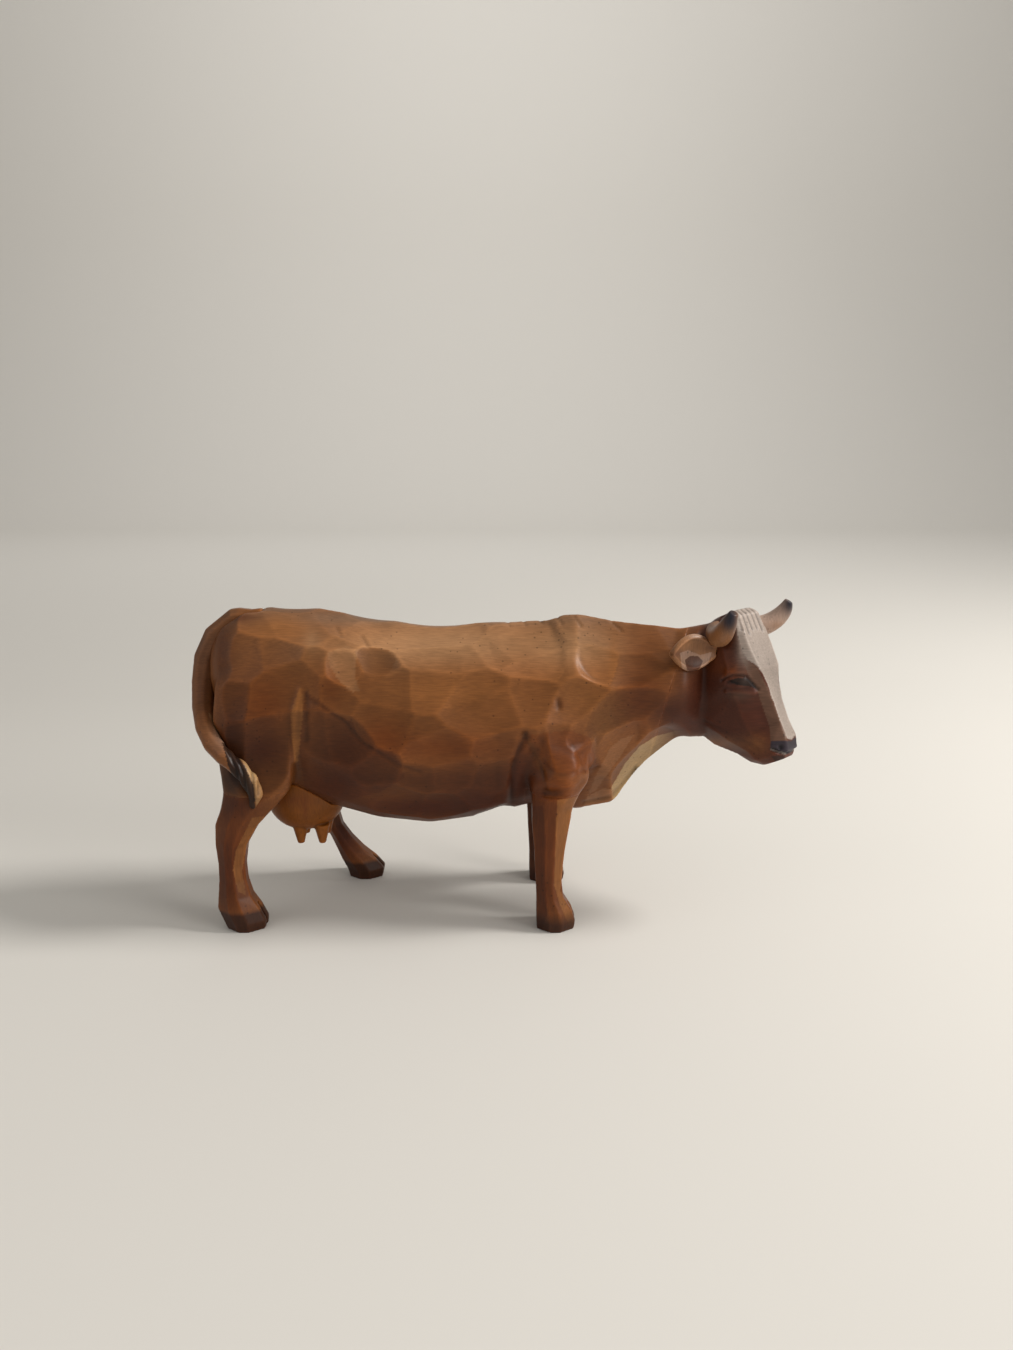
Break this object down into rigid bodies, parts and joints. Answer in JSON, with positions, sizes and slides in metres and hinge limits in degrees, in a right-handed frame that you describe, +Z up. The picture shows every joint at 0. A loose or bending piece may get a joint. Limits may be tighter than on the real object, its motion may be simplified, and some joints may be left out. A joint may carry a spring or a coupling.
{
  "type": "cow figurine",
  "caption": "Hand-length carved wooden cow standing on its hooves, head turned to one side, tail laid over the thigh.",
  "frame": {"origin": "middle of the footprint box, on the plane of the soles", "axes": "+X from the rump towards the head, +Y to the cow's left, +Z up"},
  "size_m": [0.1914, 0.055, 0.101],
  "materials": {
    "body_stain": "warm brown stain under satin lacquer",
    "head_stain": "dark reddish-brown stain under satin lacquer",
    "leg_stain": "warm brown stain with dark hooves under satin lacquer",
    "horn_stain": "light stain with dark tips under satin lacquer",
    "udder_stain": "golden stain under satin lacquer",
    "bare_wood": "bare turned wood"
  },
  "bodies": {
    "root": {"trunk": "body_stain", "head": "head_stain", "front_right_leg": "leg_stain", "front_left_leg": "leg_stain", "hind_right_leg": "leg_stain", "hind_left_leg": "leg_stain", "leg_dowels": "bare_wood", "neck_dowels": "bare_wood", "horn_right": "horn_stain", "horn_left": "horn_stain", "ear_right": "head_stain", "ear_left": "head_stain", "tail": "body_stain", "tail_peg": "bare_wood", "udder": "udder_stain", "udder_peg": "bare_wood"}
  },
  "joints": []
}
